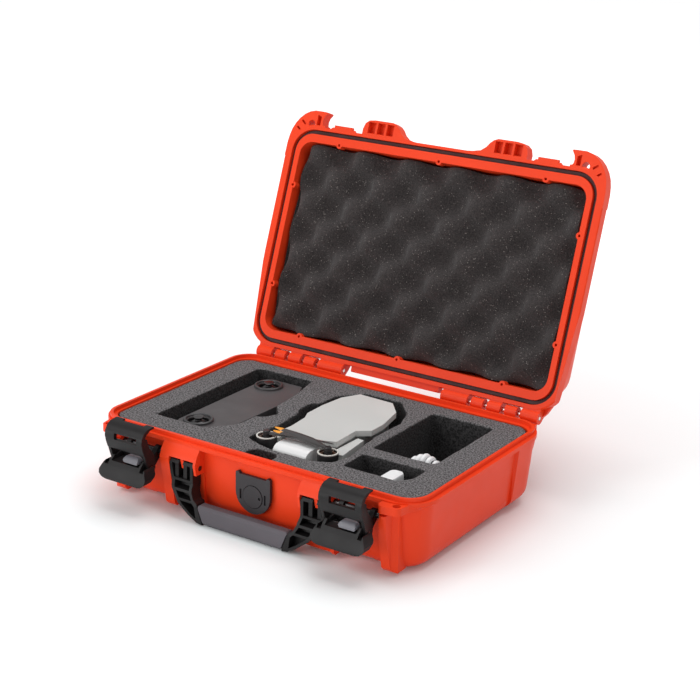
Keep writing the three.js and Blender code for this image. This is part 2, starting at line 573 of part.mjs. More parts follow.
// One end of the handle: a curved channel with ribs, closed behind, with two clips round the pin at the top.
function handleArm() {
  const outline = [[50.8, 4.4], [50.8, -10], [49.6, -18], [47, -23], [43.4, -25.4], [37.6, -41], [43, -40.4],
    [51, -36], [61.4, -28], [69, -18], [72.6, -8], [73.5, 0], [73.5, 4.4]];
  const inside = [[53.4, 1.5], [53.4, -10], [52, -18.6], [48.4, -25.2], [45.4, -28], [44, -37.4], [50, -33.8],
    [59.4, -26.4], [66.4, -17], [69.8, -8], [71.1, 0], [71.1, 1.5]];
  const side = [[-5.8, 1], [-4, 3.8], [2.4, 4], [4, 2.4], [4, -12], [-0.4, -24], [-2, -41.2], [-11.2, -41.2],
    [-11.2, -28], [-8.4, -16], [-5.8, -12]];
  const hollow = [[-20, 4], [1.4, 4], [1.4, -12], [-3, -24], [-4.6, -42], [-20, -42]];
  const envelope = prism('y', outline, -14, 6).intersect(prism('x', side, 30, 80));
  const channel = cut(envelope, prism('y', inside, -20, 6).intersect(prism('x', hollow, 30, 80)));
  const ribs = [[-11, 52, 73], [-18, 50, 70], [-25, 45, 64]].map(([z, x0, x1]) => (
    box(x0, x1, -6.4 + z * 0.16, 4, z - 1, z + 1).intersect(envelope)
  ));
  const clips = [57.4, 65.6].map((x) => join(
    box(x, x + 3.4, -4.6, 3, -11, 2),
    bar('x', 3.9, x, x + 3.4, [0, 0], 16),
  ));
  const toothGap = box(61, 65, -10, 6, -6.5, 8);
  const pinHole = bar('x', HANDLE.pinR + GAP, 45, 80, [0, 0]);
  return cut(join(channel, ribs, clips), toothGap, pinHole);
}

function handleFrame() {
  const { hx, y0, y1, z0, z1 } = GRIP_CORE;
  return join(bothSides(handleArm()), box(-hx, hx, y0, y1, z0, z1));
}

// Sleeve over the bar between the arms.
function handleGrip() {
  const { hx, y0, y1, z0, z1 } = GRIP_CORE;
  const outline = [[-42.4, -26.6], [-36.9, -40], [-35, -41.2], [35, -41.2], [36.9, -40], [42.4, -26.6], [40.8, -25.4],
    [-40.8, -25.4]];
  const side = [[-11.6, -28], [-9.6, -25.4], [-3.6, -25.4], [-1.6, -27.4], [-1.6, -38.6], [-3.6, -41.2], [-9.6, -41.2],
    [-11.6, -38.6]];
  const sleeve = prism('y', outline, -12, -1).intersect(prism('x', side, -45, 45));
  return cut(sleeve, box(-hx - 5, hx + 5, y0 - GAP, y1 + GAP, z0 - GAP, z1 + GAP));
}
piece('handle_frame', handleFrame(), BLACK, handleGroup);
piece('handle_grip', handleGrip(), GRIP_GREY, handleGroup);

// ---------------------------------------------------------------- drone, folded, nose to the back
const DRONE = { lowZ: FOAM.splitZ + GAP, topZ: 62, motorX: 29, motorY: -53, motorR: 8.3 };

function droneBody() {
  const plate = [[-23.5, -37], [-26.5, -5], [-30.5, 4], [-31, 26], [-28.5, 50], [-20, 66], [13, 64.5], [26.5, 48.5],
    [32.5, 20], [32.5, 3], [22.5, -5], [23.5, -33], [5, -39.5], [-5.5, -39.5]];
  const hull = [[-18, -39], [-19, -4], [-24, 6], [-24, 48], [-14, 64], [10, 64], [20, 48], [24, 6], [19, -4], [18, -39]];
  return join(prism('z', hull, DRONE.lowZ, 58), prism('z', plate, 57, DRONE.topZ)).translate([DRONE_X, 0, 0]);
}
piece('drone_body', droneBody(), DRONE_GREY);

const batteryProfile = [...arc(-57, 52.5, 8, 90, 270, 10), [-39.9, 44.5], [-39.9, 60.5]];
piece('drone_battery', prism('x', batteryProfile, DRONE_X - 15.5, DRONE_X + 16), DRONE_GREY);

// Rear arm folded forward along the body, drawn on the drone's right.
function droneArm() {
  const outline = [[21, -46], ...arc(DRONE.motorX, DRONE.motorY, 7.6, 150, 360, 8), [37, -44], [34, -30], [31.5, -6.5],
    [25, -6], [24.6, -36]];
  const beam = [[25, -6], [24.6, -36], [26, -42.5], [35.6, -42.5], [34, -30], [31.5, -6.5]];
  return join(prism('z', outline, 46, 52.2), prism('z', beam, 50, 56.7));
}

function droneMotor() {
  return turned([[0, 52.5], [7.9, 52.5], [DRONE.motorR, 53.4], [DRONE.motorR, 60.7], [6.9, 60.7], [6.9, 58.8],
    [3.2, 58.8], [3.2, 62], [0, 62]], 24);
}
const motorRim = turned([[7.1, 61], [DRONE.motorR, 61], [DRONE.motorR, 61.9], [7.1, 61.9], [7.1, 61]], 24);

// Two folded blades on a hub, reaching across to the other motor. Drawn with the hub at the origin.
function dronePropeller(z) {
  const blade = [[4, 3.6], [-6, 8.4], [-30, 11.8], [-52, 12.4], [-56.5, 10.6], [-53, 8.2], [-30, 5.4], [-6, 1.6], [2, 0]];
  const lower = [[4, 1], [-6, 4.6], [-30, 7], [-50, 7.6], [-54, 6], [-50, 4], [-30, 1.6], [-6, -2.4], [2, -3]];
  return join(bar('z', 4.2, z, z + 1.6, [0, 0], 16), prism('z', blade, z + 0.7, z + 1.5), prism('z', lower, z, z + 0.8));
}

for (const [side, sign] of [['left', -1], ['right', 1]]) {
  const sided = (manifold) => (sign > 0 ? manifold : manifold.mirror([1, 0, 0])).translate([DRONE_X, 0, 0]);
  const atMotor = (manifold) => manifold.translate([DRONE.motorX, DRONE.motorY, 0]);
  piece(`drone_arm_${side}`, sided(droneArm()), DRONE_GREY);
  piece(`drone_motor_${side}`, sided(atMotor(droneMotor())), MOTOR_BLACK);
  piece(`drone_motor_rim_${side}`, sided(atMotor(motorRim)), STEEL);
  piece(`drone_propeller_${side}`, sided(atMotor(dronePropeller(sign > 0 ? 64.3 : 62.3))), MOTOR_BLACK);
}

// ---------------------------------------------------------------- remote controller
const CONTROLLER = { lowZ: FOAM.splitZ + GAP, topZ: 54, flapTopZ: 46, sticks: { front: [-89, -46], rear: [-91, 52] } };

function controllerBody() {
  const outline = [[-98, -61], [-72, -61], [-60, -46], [-58, 20], [-60, 52], [-68, 69], [-96, 69], [-105, 56],
    [-105, -52]];
  const sticks = Object.values(CONTROLLER.sticks);
  const shell = prism('z', outline, CONTROLLER.lowZ, CONTROLLER.topZ);
  const rings = sticks.map((centre) => bar('z', 12.5, 50, CONTROLLER.topZ + 1, centre, 32).intersect(
    prism('z', outline, 40, 60),
  ));
  const bowls = sticks.map((centre) => bar('z', 9.4, CONTROLLER.topZ - 3.4, 60, centre, 32));
  return cut(join(shell, rings), bowls);
}
piece('controller_body', controllerBody(), CONTROLLER_GREY);
piece('controller_flap', prism('z', [[-105.4, -50], [-115.5, -46], [-115.5, 52], [-105.4, 56]],
  CONTROLLER.lowZ, CONTROLLER.flapTopZ), CONTROLLER_GREY);

const stickProfile = [[0, 50.9], [7.8, 50.9], [7, 52.6], [4.4, 54.4], [2.6, 55], [2.6, 56.4], [4.4, 57], [4.4, 58],
  [0, 58.6]];
for (const [place, [x, y]] of Object.entries(CONTROLLER.sticks)) {
  piece(`controller_stick_${place}`, turned(stickProfile, 24), STICK_GREY).position.set(x, y, 0);
}

// ---------------------------------------------------------------- charger and cable
const chargerRings = edgeRings(56.6, -1, { hx: 6.3, hy: 10.8, r: 5 }, 2.4, 2);
piece('charger', stack([{ z: FOAM.splitZ + GAP, hx: 6.3, hy: 10.8, r: 5 }, ...chargerRings], 4), WHITE)
  .position.set(98.6, -50.2, 0);

const hankOutline = [...arc(-4, 0, 8, 90, 270, 6), ...arc(4, 0, 8, -90, 90, 6)];
piece('cable_hank', prism('z', hankOutline, FOAM.splitZ + GAP, 60.5), WHITE).position.set(103, -9.5, 0);

export default caseGroup;
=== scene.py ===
# Looks of the open drone carrying case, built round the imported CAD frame. Metres, +Z up, front towards -Y.
import math

import bmesh
import bpy
import numpy as np
from mathutils import Matrix, Vector, noise


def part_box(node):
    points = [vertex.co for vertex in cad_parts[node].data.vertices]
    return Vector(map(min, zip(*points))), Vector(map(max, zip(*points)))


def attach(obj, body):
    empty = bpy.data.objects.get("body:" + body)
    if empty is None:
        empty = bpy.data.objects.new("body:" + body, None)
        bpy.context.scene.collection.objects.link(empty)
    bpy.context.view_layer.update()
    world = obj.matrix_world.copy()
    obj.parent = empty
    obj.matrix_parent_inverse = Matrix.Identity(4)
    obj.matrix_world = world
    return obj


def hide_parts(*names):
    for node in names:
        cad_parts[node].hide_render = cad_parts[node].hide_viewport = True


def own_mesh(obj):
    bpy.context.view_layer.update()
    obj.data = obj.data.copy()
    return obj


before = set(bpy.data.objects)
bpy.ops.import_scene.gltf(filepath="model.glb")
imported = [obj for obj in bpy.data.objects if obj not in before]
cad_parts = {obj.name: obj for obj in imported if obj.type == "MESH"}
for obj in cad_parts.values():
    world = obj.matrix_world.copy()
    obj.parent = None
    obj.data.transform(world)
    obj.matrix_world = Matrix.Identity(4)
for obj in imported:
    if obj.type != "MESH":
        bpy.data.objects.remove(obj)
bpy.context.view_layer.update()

HINGE = Vector((0, 0.106, 0.062))        # a point on the lid hinge's axis, which lies along X
LID_OPEN = math.radians(-109.7)          # lid angle at its stop, from closed
SHARP = math.radians(34)                 # edges steeper than this stay sharp in the shading
WELD_DISTANCE = 0.00002
BEVEL_ANGLE = math.radians(28)           # edges steeper than this are rounded
BEVEL_SEGMENTS = 2
FLAT = math.radians(0.4)                 # facets closer than this to one plane are joined before rounding
EVEN_WEIGHT = 80                         # how far large faces set the shading of the small ones beside them

# Takes a point of the closed lid to where it is with the lid at its stop.
LID_PLACE = Matrix.Translation(HINGE) @ Matrix.Rotation(LID_OPEN, 4, "X") @ Matrix.Translation(-HINGE)


# ---------------------------------------------------------------- materials
def new_material(name, colour, roughness, metallic=0.0, sockets=None):
    """A principled material; sockets gives further socket values by name."""
    material = bpy.data.materials.new(name)
    material.use_nodes = True
    shader = material.node_tree.nodes["Principled BSDF"]
    shader.inputs["Base Color"].default_value = (*colour, 1)
    shader.inputs["Roughness"].default_value = roughness
    shader.inputs["Metallic"].default_value = metallic
    for socket, value in (sockets or {}).items():
        shader.inputs[socket].default_value = value
    return material, material.node_tree, shader


def coordinates(tree):
    return tree.nodes.new("ShaderNodeTexCoord").outputs["Object"]


def noise_of(tree, scale, detail=2.0, stretch=None):
    """A noise texture in object space; stretch scales the coordinates along each axis first."""
    where = coordinates(tree)
    if stretch:
        mapping = tree.nodes.new("ShaderNodeMapping")
        mapping.inputs["Scale"].default_value = stretch
        tree.links.new(where, mapping.inputs["Vector"])
        where = mapping.outputs["Vector"]
    texture = tree.nodes.new("ShaderNodeTexNoise")
    texture.inputs["Scale"].default_value = scale
    texture.inputs["Detail"].default_value = detail
    tree.links.new(where, texture.inputs["Vector"])
    return texture.outputs["Fac"]


def ramp(tree, factor, stops):
    """Colours along a 0 to 1 factor: stops are (position, colour)."""
    node = tree.nodes.new("ShaderNodeValToRGB")
    while len(node.color_ramp.elements) < len(stops):
        node.color_ramp.elements.new(0.5)
    for element, (position, colour) in zip(node.color_ramp.elements, stops):
        element.position = position
        element.color = (*colour, 1)
    tree.links.new(factor, node.inputs["Fac"])
    return node.outputs["Color"]


def spread(tree, factor, low, high, start=0.3, end=0.7):
    """Maps a factor from start..end to low..high."""
    node = tree.nodes.new("ShaderNodeMapRange")
    for socket, value in (("From Min", start), ("From Max", end), ("To Min", low), ("To Max", high)):
        node.inputs[socket].default_value = value
    tree.links.new(factor, node.inputs["Value"])
    return node.outputs["Result"]


def bump(tree, shader, height, strength, distance):
    """Relief from a height factor; distance is the height in metres at full strength."""
    node = tree.nodes.new("ShaderNodeBump")
    node.inputs["Strength"].default_value = strength
    node.inputs["Distance"].default_value = distance
    tree.links.new(height, node.inputs["Height"])
    tree.links.new(node.outputs["Normal"], shader.inputs["Normal"])


def moulded(name, colour, roughness, grain=1500, depth=0.00006, variation=0.08, sockets=None):
    """Moulded plastic or rubber: a fine grain, and slow changes of tone and gloss over the surface."""
    material, tree, shader = new_material(name, colour, roughness, sockets=sockets)
    darker = tuple(c * (1 - variation) for c in colour)
    lighter = tuple(min(1, c * (1 + variation)) for c in colour)
    tone = ramp(tree, noise_of(tree, 22), [(0.35, darker), (0.65, lighter)])
    tree.links.new(tone, shader.inputs["Base Color"])
    gloss = spread(tree, noise_of(tree, 60, 4), roughness * 0.88, roughness * 1.14)
    tree.links.new(gloss, shader.inputs["Roughness"])
    bump(tree, shader, noise_of(tree, grain), 0.35, depth)
    return material


def foam(name, dark, light, grain, contrast, wall_shade):
    """Open foam: pale cell walls between dark pores, and painted shade that makes the steep cut walls darker
    than the top.
    """
    material, tree, shader = new_material(name, light, 0.95)
    cells = noise_of(tree, grain, 3)
    low, high = 0.5 - contrast, 0.5 + contrast
    colour = ramp(tree, cells, [(low, dark), (high, light)])
    # Painted shade: the colour is multiplied down to wall_shade as a face turns from facing up to upright.
    facing = tree.nodes.new("ShaderNodeSeparateXYZ")
    normal = tree.nodes.new("ShaderNodeNewGeometry").outputs["Normal"]
    tree.links.new(normal, facing.inputs["Vector"])
    shade = spread(tree, facing.outputs["Z"], wall_shade, 1, 0.35, 0.9)
    mix = tree.nodes.new("ShaderNodeMix")
    mix.data_type = "RGBA"
    mix.blend_type = "MULTIPLY"
    mix.inputs["Factor"].default_value = 1
    tree.links.new(colour, mix.inputs["A"])
    tree.links.new(shade, mix.inputs["B"])
    tree.links.new(mix.outputs["Result"], shader.inputs["Base Color"])
    bump(tree, shader, cells, 0.7, 0.0005)
    return material


def speckled_foam(name):
    """Charcoal acoustic foam: soft dark cells with scattered pale flecks."""
    material, tree, shader = new_material(name, (0.04, 0.036, 0.036), 1, sockets={"Sheen Weight": 0.1})
    cells = noise_of(tree, 900, 3)
    base = ramp(tree, cells, [(0.36, (0.015, 0.0118, 0.0118)), (0.64, (0.04, 0.032, 0.0315))])
    points = tree.nodes.new("ShaderNodeTexVoronoi")
    points.inputs["Scale"].default_value = 620
    tree.links.new(coordinates(tree), points.inputs["Vector"])
    flecks = spread(tree, points.outputs["Distance"], 1, 0, 0.08, 0.26)
    chosen = spread(tree, noise_of(tree, 480, 1), 0, 1, 0.52, 0.58)
    both = tree.nodes.new("ShaderNodeMath")
    both.operation = "MULTIPLY"
    tree.links.new(flecks, both.inputs[0])
    tree.links.new(chosen, both.inputs[1])
    mix = tree.nodes.new("ShaderNodeMix")
    mix.data_type = "RGBA"
    tree.links.new(both.outputs[0], mix.inputs["Factor"])
    tree.links.new(base, mix.inputs["A"])
    mix.inputs["B"].default_value = (0.3, 0.27, 0.25, 1)
    tree.links.new(mix.outputs["Result"], shader.inputs["Base Color"])
    bump(tree, shader, cells, 0.8, 0.0006)
    return material


def metal(name, colour, roughness):
    """Bare metal, brushed along the X axis."""
    material, tree, shader = new_material(name, colour, roughness, metallic=1.0)
    brushed = noise_of(tree, 300, 3, stretch=(0.15, 4, 4))
    tree.links.new(spread(tree, brushed, roughness * 0.7, roughness * 1.4), shader.inputs["Roughness"])
    return material


ORANGE = moulded("orange_plastic", (0.8, 0.05, 0.011), 0.36, grain=2200, depth=0.00003, variation=0.03,
                 sockets={"Specular IOR Level": 0.16})
BLACK = moulded("black_nylon", (0.01, 0.0088, 0.0092), 0.42, grain=1800, depth=0.00005,
                sockets={"Specular IOR Level": 0.24})
VALVE_BLACK = moulded("valve_plastic", (0.034, 0.03, 0.033), 0.5, grain=1600, depth=0.00005,
                      sockets={"Specular IOR Level": 0.3})
BUTTON_GREY = moulded("button_plastic", (0.15, 0.145, 0.165), 0.42)
GRIP = moulded("grip_rubber", (0.098, 0.088, 0.1), 0.66, grain=1100, depth=0.0001,
               sockets={"Specular IOR Level": 0.3})
SEAL = moulded("seal_rubber", (0.045, 0.008, 0.008), 0.6)
STEEL = metal("steel", (0.72, 0.71, 0.69), 0.24)
DARK_METAL = metal("dark_metal", (0.09, 0.086, 0.088), 0.34)
RING_METAL = moulded("motor_ring", (0.66, 0.64, 0.6), 0.22, variation=0.02)
COPPER = moulded("copper_wire", (0.09, 0.045, 0.026), 0.4)
DRONE_GREY = moulded("drone_plastic", (0.58, 0.585, 0.57), 0.38, grain=2400, depth=0.00002, variation=0.02)
BATTERY_WHITE = moulded("battery_plastic", (0.74, 0.74, 0.74), 0.3, grain=2400, depth=0.00001,
                        variation=0.02)
MOTOR_BLACK = moulded("motor_black", (0.022, 0.021, 0.022), 0.3)
PROPELLER = moulded("propeller_plastic", (0.04, 0.037, 0.037), 0.33, grain=900, depth=0.00003)
TIP_ORANGE = moulded("tip_orange", (0.85, 0.33, 0.02), 0.4)
CONTROLLER_GREY = moulded("controller_plastic", (0.075, 0.068, 0.07), 0.5, grain=2400, depth=0.00003,
                          sockets={"Specular IOR Level": 0.3})
CONTROLLER_DARK = moulded("controller_dark", (0.034, 0.032, 0.034), 0.4)
WHITE = moulded("white_plastic", (0.84, 0.84, 0.85), 0.32, grain=2000, depth=0.00001, variation=0.015)
CABLE_WHITE = moulded("cable_white", (0.8, 0.8, 0.81), 0.42, grain=1200, depth=0.00003, variation=0.02)
BASE_FOAM = foam("base_foam", (0.016, 0.0145, 0.0155), (0.2, 0.19, 0.195), grain=760, contrast=0.14,
                 wall_shade=0.24)
LID_FOAM = speckled_foam("lid_foam")


# ---------------------------------------------------------------- mesh helpers
def smooth_by_angle():
    """A geometry nodes group that shades smooth and leaves the steep edges sharp."""
    group = bpy.data.node_groups.new("smooth_by_angle", "GeometryNodeTree")
    group.interface.new_socket("Geometry", in_out="INPUT", socket_type="NodeSocketGeometry")
    group.interface.new_socket("Geometry", in_out="OUTPUT", socket_type="NodeSocketGeometry")
    start = group.nodes.new("NodeGroupInput")
    end = group.nodes.new("NodeGroupOutput")
    faces = group.nodes.new("GeometryNodeSetShadeSmooth")
    edges = group.nodes.new("GeometryNodeSetShadeSmooth")
    edges.domain = "EDGE"
    edges.inputs["Shade Smooth"].default_value = False
    angle = group.nodes.new("GeometryNodeInputMeshEdgeAngle")
    steep = group.nodes.new("FunctionNodeCompare")
    steep.operation = "GREATER_THAN"
    steep.inputs["B"].default_value = SHARP
    group.links.new(angle.outputs["Unsigned Angle"], steep.inputs["A"])
    group.links.new(start.outputs[0], faces.inputs["Geometry"])
    group.links.new(faces.outputs["Geometry"], edges.inputs["Geometry"])
    group.links.new(steep.outputs["Result"], edges.inputs["Selection"])
    group.links.new(edges.outputs["Geometry"], end.inputs[0])
    return group


SMOOTH = smooth_by_angle()


def finish_edges(obj, width, join_flat):
    """Welds a faceted piece, rounds its edges to a width and shades it smooth.

    join_flat joins its flat facets first, which suits a piece without large faces full of holes.
    """
    weld = obj.modifiers.new("weld", "WELD")
    weld.merge_threshold = WELD_DISTANCE
    if join_flat:
        plain = obj.modifiers.new("planar", "DECIMATE")
        plain.decimate_type = "DISSOLVE"
        plain.angle_limit = FLAT
    bevel = obj.modifiers.new("bevel", "BEVEL")
    bevel.width = width
    bevel.segments = BEVEL_SEGMENTS
    bevel.limit_method = "ANGLE"
    bevel.angle_limit = BEVEL_ANGLE
    bevel.use_clamp_overlap = True
    bevel.miter_outer = "MITER_ARC"
    obj.modifiers.new("smooth", "NODES").node_group = SMOOTH
    even = obj.modifiers.new("even", "WEIGHTED_NORMAL")
    even.keep_sharp = True
    even.weight = EVEN_WEIGHT


def paint(obj, material):
    """Gives a mesh one material in place of those it has."""
    obj.data.materials.clear()
    obj.data.materials.append(material)


def mesh_piece(name, vertices, faces, material, body):
    """A new smooth mesh piece that rides on a body and has one material slot."""
    mesh = bpy.data.meshes.new(name)
    mesh.from_pydata([tuple(v) for v in vertices], [], [tuple(f) for f in faces])
    mesh.validate()
    mesh.update()
    obj = bpy.data.objects.new(name, mesh)
    bpy.context.scene.collection.objects.link(obj)
    mesh.materials.append(material)
    mesh.polygons.foreach_set("use_smooth", [True] * len(mesh.polygons))
    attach(obj, body)
    return obj


def end_caps(loops, count):
    """Faces that close the first and the last of several equal loops of vertices."""
    return [tuple(reversed(range(count))), tuple(range((loops - 1) * count, loops * count))]


def turned(name, profile, centre, material, body, segments=48):
    """A solid of revolution about a vertical axis, from (radius, height) points, flat at both ends."""
    vertices = []
    for radius, height in profile:
        for i in range(segments):
            a = 2 * math.pi * i / segments
            vertices.append(Vector((radius * math.cos(a), radius * math.sin(a), height)) + Vector(centre))
    faces = []
    for level in range(len(profile) - 1):
        for i in range(segments):
            j = (i + 1) % segments
            a, b = level * segments, (level + 1) * segments
            faces.append((a + i, a + j, b + j, b + i))
    faces += end_caps(len(profile), segments)
    obj = mesh_piece(name, vertices, faces, material, body)
    obj.modifiers.new("smooth", "NODES").node_group = SMOOTH
    return obj


def ring(name, centre, radius, section, material, body, segments=64, sides=12):
    """A round ring lying flat; section is the half width and half height of its bar."""
    vertices, faces = [], []
    for i in range(segments):
        a = 2 * math.pi * i / segments
        for j in range(sides):
            b = 2 * math.pi * j / sides
            r = radius + section[0] * math.cos(b)
            vertices.append((centre[0] + r * math.cos(a), centre[1] + r * math.sin(a),
                             centre[2] + section[1] * math.sin(b)))
            k, m = (i + 1) % segments, (j + 1) % sides
            faces.append((i * sides + j, k * sides + j, k * sides + m, i * sides + m))
    return mesh_piece(name, vertices, faces, material, body)


def loft(name, sections, material, body):
    """A closed solid through equal loops of points, capped at both ends."""
    count = len(sections[0])
    vertices = [p for section in sections for p in section]
    faces = []
    for s in range(len(sections) - 1):
        for i in range(count):
            j = (i + 1) % count
            faces.append((s * count + i, s * count + j, (s + 1) * count + j, (s + 1) * count + i))
    faces += end_caps(len(sections), count)
    obj = mesh_piece(name, vertices, faces, material, body)
    mesh = bmesh.new()
    mesh.from_mesh(obj.data)
    bmesh.ops.recalc_face_normals(mesh, faces=mesh.faces)
    mesh.to_mesh(obj.data)
    mesh.free()
    return obj


def evaluated_copy(source, name, modify):
    """A new mesh object from a CAD node's mesh, with modifiers applied."""
    obj = bpy.data.objects.new(name, source.data.copy())
    bpy.context.scene.collection.objects.link(obj)
    modify(obj)
    bpy.context.view_layer.update()
    mesh = bpy.data.meshes.new_from_object(obj.evaluated_get(bpy.context.evaluated_depsgraph_get()))
    old = obj.data
    obj.modifiers.clear()
    obj.data = mesh
    bpy.data.meshes.remove(old)
    return obj


# ---------------------------------------------------------------- hard parts that keep their CAD shape
HARD = {                                 # node name start: (material, edge radius)
    "base_shell": (ORANGE, 0.0007),
    "lid_shell": (ORANGE, 0.0006),
    "lid_gasket": (SEAL, 0.0009),
    "valve_plate": (VALVE_BLACK, 0.0005),
    "valve_cap": (VALVE_BLACK, 0.0004),
    "valve_membrane": (WHITE, 0.0002),
    "hinge_pin": (STEEL, 0.0003),
    "latch_pin": (DARK_METAL, 0.0003),
    "handle_pin": (DARK_METAL, 0.0003),
    "latch_link_pin": (DARK_METAL, 0.0003),
    "latch_claw": (BLACK, 0.0008),
    "latch_paddle": (BLACK, 0.0009),
    "latch_button": (BUTTON_GREY, 0.0007),
    "handle_frame": (BLACK, 0.0005),
    "handle_grip": (GRIP, 0.0012),
    "drone_body": (DRONE_GREY, 0.0013),
    "drone_battery": (BATTERY_WHITE, 0.0007),
    "drone_arm": (DRONE_GREY, 0.001),
    "drone_motor": (MOTOR_BLACK, 0.0003),
    "drone_motor_rim": (RING_METAL, 0.00015),
    "controller_body": (CONTROLLER_GREY, 0.0014),
    "controller_flap": (CONTROLLER_GREY, 0.0016),
    "controller_stick": (DARK_METAL, 0.0004),
    "charger": (WHITE, 0.0008),
}
KEEP_FACETS = ("lid_shell", "base_shell", "handle_frame")

for node, node_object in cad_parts.items():
    match = max((start for start in HARD if node.startswith(start)), key=len, default=None)
    if match:
        hard_material, edge_radius = HARD[match]
        paint(node_object, hard_material)
        finish_edges(node_object, edge_radius, join_flat=node not in KEEP_FACETS)


# ---------------------------------------------------------------- lid foam
LID_FOAM_HALF = (0.1405, 0.0845)
LID_FOAM_CORNER = 0.011                  # radius of the sheet's corners
LID_FOAM_BACK = 0.0935                   # height of its glued face with the lid closed
LID_FOAM_MIDDLE = 0.0675                 # mean height of its free face, which the peaks go below
PEAK = 0.0064                            # height of the peaks, and depth of the hollows
CRATE = 0.024                            # half the pitch between the peaks
CRATE_SHIFT = (0.004, 0.006)             # of the pattern of peaks from the sheet's middle
PEAK_ROUNDNESS = 0.85                    # under 1 makes the peaks and hollows fuller
EDGE_DROOP, DROOP_WIDTH = 0.0016, 0.004  # how far the free face sinks at its edge, and over what width
EDGE_PULL, PULL_WIDTH = 0.0022, 0.012    # how far the sides pull in at a hollow, and over what width
BACK_SHARE = (0.94, 0.9)                 # size of the glued face as a share of the free one
LID_FOAM_COLUMNS, LID_FOAM_ROWS = 172, 104


def lid_foam():
    """Convoluted foam: rows of rounded peaks with hollows between, cut off at the edges of the sheet."""
    hx, hy = LID_FOAM_HALF
    corner = LID_FOAM_CORNER
    nx, ny = LID_FOAM_COLUMNS, LID_FOAM_ROWS
    xs, ys = np.linspace(-hx, hx, nx), np.linspace(-hy, hy, ny)
    top, under = [], []
    for y in ys:
        for x in xs:
            px, py = x, y
            cx, cy = max(abs(x) - (hx - corner), 0), max(abs(y) - (hy - corner), 0)
            reach = math.hypot(cx, cy)
            if reach > corner:
                px = math.copysign(hx - corner + cx * corner / reach, x)
                py = math.copysign(hy - corner + cy * corner / reach, y)
            along = math.cos(math.pi * (px + CRATE_SHIFT[0]) / CRATE)
            wave = along * math.cos(math.pi * (py + CRATE_SHIFT[1]) / CRATE)
            wave = math.copysign(abs(wave) ** PEAK_ROUNDNESS, wave)
            rough = noise.noise(Vector((px * 90, py * 90, 3.1))) * 0.0006
            rough += noise.noise(Vector((px * 420, py * 420, 7.7))) * 0.0003
            edge = min(hx - abs(px), hy - abs(py))
            droop = EDGE_DROOP * max(0, 1 - edge / DROOP_WIDTH) ** 2
            pull = EDGE_PULL * max(0, 1 - edge / PULL_WIDTH) * (0.5 - 0.5 * wave)
            sx = px * (1 - pull / hx)
            sy = py * (1 - pull / hy)
            top.append((sx, sy, LID_FOAM_MIDDLE - PEAK * wave + rough + droop))
            under.append((sx * BACK_SHARE[0], sy * BACK_SHARE[1], LID_FOAM_BACK))
    count = nx * ny
    faces = []
    for j in range(ny - 1):
        for i in range(nx - 1):
            a = j * nx + i
            faces.append((a + nx, a + nx + 1, a + 1, a))
            faces.append((count + a, count + a + 1, count + a + nx + 1, count + a + nx))
    rim = list(range(nx)) + [j * nx + nx - 1 for j in range(1, ny)]
    rim += [(ny - 1) * nx + i for i in range(nx - 2, -1, -1)] + [j * nx for j in range(ny - 2, 0, -1)]
    for a, b in zip(rim, rim[1:] + rim[:1]):
        faces.append((a, b, count + b, count + a))
    points = [LID_PLACE @ Vector(p) for p in top + under]
    obj = mesh_piece("lid_foam_crate", points, faces, LID_FOAM, "lid")
    mesh = bmesh.new()
    mesh.from_mesh(obj.data)
    bmesh.ops.remove_doubles(mesh, verts=mesh.verts, dist=0.00005)
    bmesh.ops.recalc_face_normals(mesh, faces=mesh.faces)
    mesh.to_mesh(obj.data)
    mesh.free()
    obj.modifiers.new("smooth", "NODES").node_group = SMOOTH
    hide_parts("lid_foam")
    # The peaks press on the base foam and its contents as the lid closes.
    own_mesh(obj)


lid_foam()


# ---------------------------------------------------------------- base foam
def cut_foam(node, name, voxel, depth):
    """The CAD foam with its cut edges softened and its walls uneven by about depth."""
    def modify(obj):
        obj.modifiers.new("weld", "WELD").merge_threshold = WELD_DISTANCE
        remesh = obj.modifiers.new("voxels", "REMESH")
        remesh.mode = "VOXEL"
        remesh.voxel_size = voxel
        soften = obj.modifiers.new("soften", "SMOOTH")
        soften.factor = 0.5
        soften.iterations = 2

    obj = evaluated_copy(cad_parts[node], name, modify)
    mesh = obj.data
    count = len(mesh.vertices)
    points = np.empty(count * 3, np.float32)
    mesh.vertices.foreach_get("co", points)
    points = points.reshape(-1, 3)
    normals = np.empty(count * 3, np.float32)
    mesh.vertex_normals.foreach_get("vector", normals)
    normals = normals.reshape(-1, 3)
    moves = []
    for p in points:
        fine, slow = noise.noise(Vector(p) * 260), noise.noise(Vector(p) * 45)
        moves.append(fine * depth + slow * depth * 1.2)
    points += normals * np.array(moves, np.float32)[:, None]
    mesh.vertices.foreach_set("co", points.ravel())
    mesh.update()
    mesh.polygons.foreach_set("use_smooth", [True] * len(mesh.polygons))
    paint(obj, BASE_FOAM)
    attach(obj, "base")
    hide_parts(node)


cut_foam("base_foam_insert", "foam_insert", voxel=0.0014, depth=0.00022)
cut_foam("base_foam_pad", "foam_pad", voxel=0.003, depth=0.0002)


